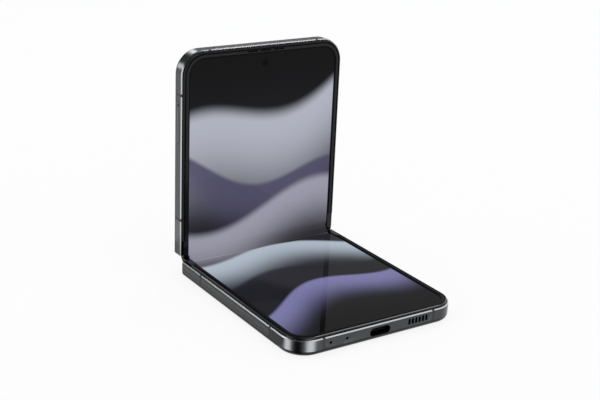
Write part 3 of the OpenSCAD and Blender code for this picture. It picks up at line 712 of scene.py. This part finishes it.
def litScreen(settings):
    # Laminated flexible display: black where unlit, an even glow where lit, and a film that mirrors little
    material, tree = newMaterial("litFlexibleDisplay")
    axes = addNode(tree, "SeparateXYZ", {"Vector": addNode(tree, "UVMap", uv_map="screenMap")})
    x, s = axes.outputs["X"], axes.outputs["Y"]
    # Charcoal that turns a little warmer in the middle
    middle = addNode(tree, "Math", {0: s}, operation="ABSOLUTE")
    fadeStart, fadeEnd = settings["middleFade"]
    fade = addNode(tree, "MapRange", {"Value": middle, "From Min": fadeStart, "From Max": fadeEnd},
                   interpolation_type="SMOOTHSTEP")
    colour = addNode(tree, "Mix", {"Factor": fade, firstColour: linearColour(settings["dayColour"]),
                                   secondColour: linearColour(settings["nightColour"])}, data_type="RGBA")
    for place, swing, length, phase, slope, crest, tail, tone, strength in settings["waves"]:
        turn = addNode(tree, "Math", {0: x, 1: 2 * math.pi / length, 2: phase}, operation="MULTIPLY_ADD")
        wave = addNode(tree, "Math", {0: turn}, operation="SINE")
        level = addNode(tree, "Math", {0: wave, 1: swing, 2: place}, operation="MULTIPLY_ADD")
        line = addNode(tree, "Math", {0: x, 1: slope, 2: level}, operation="MULTIPLY_ADD")
        away = addNode(tree, "Math", {0: s, 1: line}, operation="SUBTRACT")
        # Crisp on the crest, then a soft tail that dies away over twice its length
        front = addNode(tree, "MapRange", {"Value": away, "From Min": -crest, "From Max": crest},
                        interpolation_type="SMOOTHSTEP")
        back = addNode(tree, "MapRange", {"Value": away, "From Max": tail * 2, "To Min": 1.0,
                                          "To Max": 0.0}, interpolation_type="SMOOTHERSTEP")
        crown = addNode(tree, "Math", {0: front, 1: back}, operation="MULTIPLY")
        share = addNode(tree, "Math", {0: crown, 1: strength}, operation="MULTIPLY")
        colour = addNode(tree, "Mix", {"Factor": share, firstColour: colour.outputs[mixedColour],
                                       secondColour: linearColour(tone)}, data_type="RGBA")
    # Rounded edge of the lit area
    corner = settings["litCorner"]
    trim = phone["surroundInner"] + settings["blackBorder"] + corner
    overs = []
    for axis, side in ((x, halfWidth), (s, phone["halfLength"])):
        size = addNode(tree, "Math", {0: axis}, operation="ABSOLUTE")
        over = addNode(tree, "Math", {0: size, 1: side - trim}, operation="SUBTRACT")
        overs.append(addNode(tree, "Math", {0: over, 1: 0.0}, operation="MAXIMUM"))
    edgeStart, edgeEnd = settings["litEdge"]
    lit = addNode(tree, "MapRange", {"Value": distanceOn(tree, *overs), "From Min": corner + edgeStart,
                                     "From Max": corner + edgeEnd, "To Min": 1.0, "To Max": 0.0})
    # The front camera's window stays black
    cameraS = phone["halfLength"] - phone["frontCameraFromEnd"]
    along = addNode(tree, "Math", {0: s, 1: cameraS}, operation="ADD")
    black, clear = settings["cameraWindow"]
    window = addNode(tree, "MapRange", {"Value": distanceOn(tree, x, along), "From Min": black,
                                        "From Max": clear})
    shown = addNode(tree, "Math", {0: lit, 1: window}, operation="MULTIPLY")
    glow = addNode(tree, "Mix", {"Factor": shown, firstColour: linearColour("#000000"),
                                 secondColour: colour.outputs[mixedColour]}, data_type="RGBA")
    shader = addNode(tree, "BsdfPrincipled", {
        "Base Color": linearColour(settings["unlitColour"]), **settings["film"],
        "Emission Color": glow.outputs[mixedColour], "Emission Strength": 1.0})
    addNode(tree, "OutputMaterial", {"Surface": shader})
    return material


litDisplay = litScreen(screenSettings)


def mapScreen(shape, half, alongScreen=None):
    # s is positive on the lower half and negative on the upper one. The bending pieces bring their own s
    layer = shape.loops.layers.uv.new("screenMap")
    inHalf = toHalf(half)
    side = 1 if half == "lower" else -1
    for face in shape.faces:
        for loop in face.loops:
            spot = inHalf @ loop.vert.co
            s = loop.vert[alongScreen] if alongScreen else spot.y
            loop[layer].uv = (spot.x, side * s)


def unlitBack(shape, half):
    # Only the face of the panel is lit: its back and its cut sides stay black
    up = upOf(half)
    for face in shape.faces:
        face.material_index = 0 if face.normal.dot(up) > screenSettings["leastUp"] else 1


def makeFlatScreen(half):
    nodeName = half + "_screen"
    shape = mergedCopy(nodeName)
    mapScreen(shape, half)
    unlitBack(shape, half)
    finishPiece(half + "Display", shape, [litDisplay, blackPlastic], nodeName)


# The bending screen in its rest shape: the flat strip turned in part with its half and in part with the
# spine
bendSettings = {
    "rows": 28,
    "columns": 8,
    "thickness": 0.4,
    "halfStrip": 32.6,
    "overlap": 0.02,          # how far the strip runs into the flat screen
    "rounds": 60,
    "smoothAngle": 60,
}


def smoothStep(t):
    return t * t * (3 - 2 * t)


def bentPoint(s):
    # A point turns with its half at the strip's start and with the spine at its end. How much it turns in
    # between depends on where it then lies, so the turn is found in rounds
    axis = Vector((0, axisOut, -phone["axisDepth"]))

    def turned(weight, out):
        flat = Vector((0, out, phone["axisDepth"] + phone["screenRise"]))
        return axis + Matrix.Rotation(-weight * foldHalf, 3, "X") @ flat

    start, end = turned(0, phone["bendLength"] - axisOut), turned(1, -axisOut)
    span = end - start
    weight = 0.5
    for _ in range(bendSettings["rounds"]):
        share = (turned(weight, s - axisOut) - start).dot(span) / span.length_squared
        weight = 0.5 * weight + 0.5 * smoothStep(min(1, max(0, share)))
    return turned(weight, s - axisOut), start, end


def makeBendingScreen(half, settings):
    nodeName = "fold_screen_" + half
    shape = bmesh.new()
    along = shape.verts.layers.float.new("along")
    side = []
    for row in range(settings["rows"] + 1):
        s = (phone["bendLength"] + settings["overlap"]) * row / settings["rows"]
        spot, start, end = bentPoint(s)
        vert = shape.verts.new(fromHalf(half, -settings["halfStrip"], spot.y, spot.z))
        vert[along] = s
        if side:
            shape.edges.new((side[-1], vert))
        side.append(vert)
    edges = list(shape.edges)
    for column in range(settings["columns"]):
        edges = drawOn(shape, edges, (2 * settings["halfStrip"] * mm / settings["columns"], 0, 0))
    shape.normal_update()
    if sum(face.normal.dot(upOf(half)) for face in shape.faces) < 0:
        bmesh.ops.reverse_faces(shape, faces=shape.faces)
    mapScreen(shape, half, along)
    bmesh.ops.solidify(shape, geom=shape.faces[:], thickness=settings["thickness"] * mm)
    bmesh.ops.recalc_face_normals(shape, faces=shape.faces)
    unlitBack(shape, half)
    piece = finishPiece(half + "BendingDisplay", shape, [litDisplay, blackPlastic], nodeName,
                        settings["smoothAngle"], rides=False)
    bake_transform(piece)


for half in halves:
    makeFlatScreen(half)
    makeBendingScreen(half, bendSettings)
print("screens lit")

# Outer parts whose CAD shape is right: a merged copy gets smooth rounds
outerSettings = {
    # new piece: node, material
    "lowerRearGlass": ("lower_rear_glass", rearGlass),
    "upperRearGlass": ("upper_rear_glass", rearGlass),
    "lowerEndCaps": ("lower_bezel_caps", capElastomer),
    "upperEndCaps": ("upper_bezel_caps", capElastomer),
    "lowerAntennaBreaks": ("lower_antenna_bands", antennaResin),
    "upperAntennaBreaks": ("upper_antenna_bands", antennaResin),
    "hingeCover": ("hinge_cover", anodisedGraphite),
    "hingeBlocks": ("hinge_blocks", springSteel),
}
# The same for parts of the upper half that fingers touch, with the corners of their outer face softened
softEdgeSettings = {
    "pieces": {
        # new piece: node, material, outward direction, how far out its face lies, width of the soft edge
        "volumeRocker": ("volume_rocker", anodisedGraphite, (1, 0, 0), halfWidth + phone["keyRise"], 0.22),
        "sideKey": ("side_key", anodisedGraphite, (1, 0, 0), halfWidth + phone["keyRise"], 0.22),
        "cardTray": ("sim_tray", anodisedGraphite, (-1, 0, 0), halfWidth, 0.07),
        "coverDisplay": ("cover_display", displayGlass, (0, 0, -1), phone["rimHeight"], 0.12),
    },
    "faceMargin": 0.02,
    "leastAngle": 50,
    "segments": 3,
    "smoothAngle": 40,
}


def softenEdges(shape, outward, reach, width, settings):
    inHalf = toHalf("upper")
    leastOut = reach - settings["faceMargin"]
    leastAngle = math.radians(settings["leastAngle"])
    edges = [edge for edge in shape.edges
             if all((inHalf @ vert.co).dot(Vector(outward)) > leastOut for vert in edge.verts)
             and len(edge.link_faces) == 2 and edge.calc_face_angle() > leastAngle]
    bmesh.ops.bevel(shape, geom=edges, offset=width * mm, segments=settings["segments"], profile=0.5,
                    affect="EDGES", material=-1)
    return len(edges)


for pieceName, (nodeName, material) in outerSettings.items():
    finishPiece(pieceName, mergedCopy(nodeName), [material], nodeName)
for pieceName, (nodeName, material, outward, reach, width) in softEdgeSettings["pieces"].items():
    shape = mergedCopy(nodeName)
    print(pieceName, "edges", softenEdges(shape, outward, reach, width, softEdgeSettings))
    finishPiece(pieceName, shape, [material], nodeName, softEdgeSettings["smoothAngle"])
print("outer parts finished")

# Rear cameras: turned rings with a bright inner cut, stepped lenses behind a black ink ring, a ribbed flash
rearCameraSettings = {
    "x": 24.0,
    "fromEnd": (12.0, 26.0),
    "flashFromEnd": 36.08,
    "segments": 72,
    "smoothAngle": 35,
    # sections: radius, height above the rim
    "ring": ((4.4, -5.0), (4.74, -5.0), (4.74, -6.2), (5.4, -6.2), (5.4, -6.92), (5.36, -7.06),
             (5.26, -7.16), (5.12, -7.2), (4.72, -7.2), (4.66, -7.19), (4.42, -7.0), (4.4, -6.96)),
    "lens": ((0, -6.45), (4.35, -6.45), (4.35, -7.0), (4.31, -7.04), (4.25, -7.05), (2.72, -7.05),
             (2.66, -7.03), (2.62, -6.98), (2.5, -6.82), (2.3, -6.8), (2.26, -6.68), (2.02, -6.66),
             (1.98, -6.6), (1.86, -6.6), (1.8, -6.67), (1.6, -6.76), (1.3, -6.84), (0.9, -6.9),
             (0.45, -6.93), (0, -6.94)),
    "flash": ((0, -5.6), (1.4, -5.6), (1.4, -6.14), (1.34, -6.2), (1.2, -6.2), (1.1, -6.06), (1.0, -6.18),
              (0.85, -6.06), (0.75, -6.18), (0.6, -6.06), (0.5, -6.18), (0.3, -6.12), (0, -6.17)),
    # radii: the ring's bright cut, the barrel round the glass, the glass
    "ringCut": (4.4, 4.7),
    "barrel": (1.9, 2.66),
    "glass": (0, 1.9),
}


def spinSection(shape, section, place, segments, closed=False):
    # Turns a section about an upright axis and returns the new faces
    verts = [shape.verts.new((radius, 0, height)) for radius, height in section]
    pairs = list(zip(verts, verts[1:])) + ([(verts[-1], verts[0])] if closed else [])
    edges = [shape.edges.new(pair) for pair in pairs]
    old = set(shape.faces)
    bmesh.ops.spin(shape, geom=verts + edges, axis=(0, 0, 1), steps=segments, angle=math.radians(360),
                   use_merge=True, use_duplicate=False)
    faces = [face for face in shape.faces if face not in old]
    bmesh.ops.translate(shape, verts=list({vert for face in faces for vert in face.verts}),
                        vec=(place[0], place[1], 0))
    return faces


def colourByRadius(faces, place, *bands):
    # The first band of radii gets the second material, and so on
    for face in faces:
        centre = face.calc_center_median()
        radius = math.hypot(centre.x - place[0], centre.y - place[1])
        for number, band in enumerate(bands, 1):
            if between(radius, band):
                face.material_index = number


def finishTurned(name, shape, materials, nodeName, smoothAngle, replaces=True):
    bmesh.ops.remove_doubles(shape, verts=shape.verts, dist=tiny)
    intoPlace(shape, "upper")
    finishPiece(name, shape, materials, nodeName, smoothAngle, replaces=replaces)


def makeCameras(settings):
    rings, lenses, flash = bmesh.new(), bmesh.new(), bmesh.new()
    for fromEnd in settings["fromEnd"]:
        centre = (settings["x"], phone["halfLength"] - fromEnd)
        faces = spinSection(rings, settings["ring"], centre, settings["segments"], closed=True)
        colourByRadius(faces, centre, settings["ringCut"])
        faces = spinSection(lenses, settings["lens"], centre, settings["segments"])
        colourByRadius(faces, centre, settings["barrel"], settings["glass"])
    centre = (settings["x"], phone["halfLength"] - settings["flashFromEnd"])
    spinSection(flash, settings["flash"], centre, settings["segments"])
    for pieceName, shape, nodeName, materials in (
            ("cameraRings", rings, "camera_rings", [anodisedGraphite, cutChamfer]),
            ("cameraLenses", lenses, "camera_lenses", [displayGlass, blackPlastic, lensGlass]),
            ("cameraFlash", flash, "camera_flash", [flashLens])):
        finishTurned(pieceName, shape, materials, nodeName, settings["smoothAngle"])


makeCameras(rearCameraSettings)
print("rear cameras mounted")

# Front camera: a black barrel rim and a small domed lens under the screen's punched hole
frontCameraSettings = {
    "segments": 48,
    "smoothAngle": 35,
    # radius, height above the rim
    "lens": ((0, 0.1), (1.25, 0.1), (1.25, 0.26), (1.2, 0.3), (0.92, 0.3), (0.84, 0.2), (0.72, 0.19),
             (0.7, 0.22), (0.55, 0.27), (0.3, 0.31), (0, 0.32)),
    "glass": (0, 0.7),
}


def makeFrontCamera(settings):
    place = (0, phone["halfLength"] - phone["frontCameraFromEnd"])
    shape = bmesh.new()
    faces = spinSection(shape, settings["lens"], place, settings["segments"])
    colourByRadius(faces, place, settings["glass"])
    finishTurned("frontCameraLens", shape, [blackPlastic, lensGlass], "front_camera",
                 settings["smoothAngle"], replaces=False)


makeFrontCamera(frontCameraSettings)

# Plated contacts on both sides of the port's tongue, set back from its tip
contactSettings = {
    "count": 12,
    "pitch": 0.5,
    "size": (0.27, 1.8, 0.06),
    "cutEdge": 0.015,
    "tongueFace": 0.35,       # either side of the tongue's middle plane
    "tongueHeight": -2.75,
    "fromFold": 79.5,
}


def makeContacts(settings):
    shape = bmesh.new()
    for k in range(settings["count"]):
        across = (k - (settings["count"] - 1) / 2) * settings["pitch"]
        for side in (-1, 1):
            height = settings["tongueHeight"] + side * settings["tongueFace"]
            pad = bmesh.ops.create_cube(shape, size=1)["verts"]
            bmesh.ops.scale(shape, verts=pad, vec=settings["size"])
            bmesh.ops.translate(shape, verts=pad, vec=(across, settings["fromFold"], height))
    bmesh.ops.bevel(shape, geom=shape.edges[:], offset=settings["cutEdge"], segments=1, profile=0.5,
                    affect="EDGES", material=-1)
    intoPlace(shape, "lower")
    finishPiece("portContacts", shape, [platedContact], "usb_tongue", replaces=False)


makeContacts(contactSettings)
print("small parts mounted")

# Finishes of the CAD nodes themselves, inside the phone and under the pieces above
nodeMaterials = {
    "lower_frame": anodisedGraphite, "upper_frame": anodisedGraphite, "hinge_cover": anodisedGraphite,
    "volume_rocker": anodisedGraphite, "side_key": anodisedGraphite, "sim_tray": anodisedGraphite,
    "camera_rings": cutChamfer,
    "lower_antenna_bands": antennaResin, "upper_antenna_bands": antennaResin,
    "lower_rear_glass": rearGlass, "upper_rear_glass": rearGlass, "cover_display": displayGlass,
    "lower_bezel": surroundPlastic, "upper_bezel": surroundPlastic,
    "lower_bezel_caps": capElastomer, "upper_bezel_caps": capElastomer,
    "camera_lenses": lensGlass, "camera_flash": flashLens, "front_camera": lensGlass,
    "camera_module": blackPlastic, "loudspeaker": blackPlastic, "earpiece": blackPlastic,
    "usb_tongue": portShellShade, "usb_receptacle": portShellShade,
    "hinge_blocks": springSteel, "gear_shafts": springSteel,
    "lower_rotators": springSteel, "upper_rotators": springSteel, "lower_rotator_screws": springSteel,
    "upper_rotator_screws": springSteel, "board_shields": springSteel, "sim_reader": springSteel,
    "vibration_motor": springSteel, "lower_support_plate": springSteel, "upper_support_plate": springSteel,
    "friction_washers": gearBrass, "lower_sync_arms": gearBrass, "upper_sync_arms": gearBrass,
    "lower_idler_gears": gearBrass, "upper_idler_gears": gearBrass, "key_switches": gearBrass,
    "top_microphone": gearBrass, "lower_microphones": gearBrass, "charging_coil": copperWire,
    "lower_battery": batteryFoil, "upper_battery": batteryFoil,
    "sub_board": solderMask, "main_board": solderMask, "sim_card": cardPlastic,
    "lower_screen": litDisplay, "upper_screen": litDisplay,
    "fold_screen_lower": litDisplay, "fold_screen_upper": litDisplay,
}
for nodeName, material in nodeMaterials.items():
    target = frame["nodes"][nodeName]
    target.data.materials.clear()
    target.data.materials.append(material)
print("materials set on", len(nodeMaterials), "pieces")
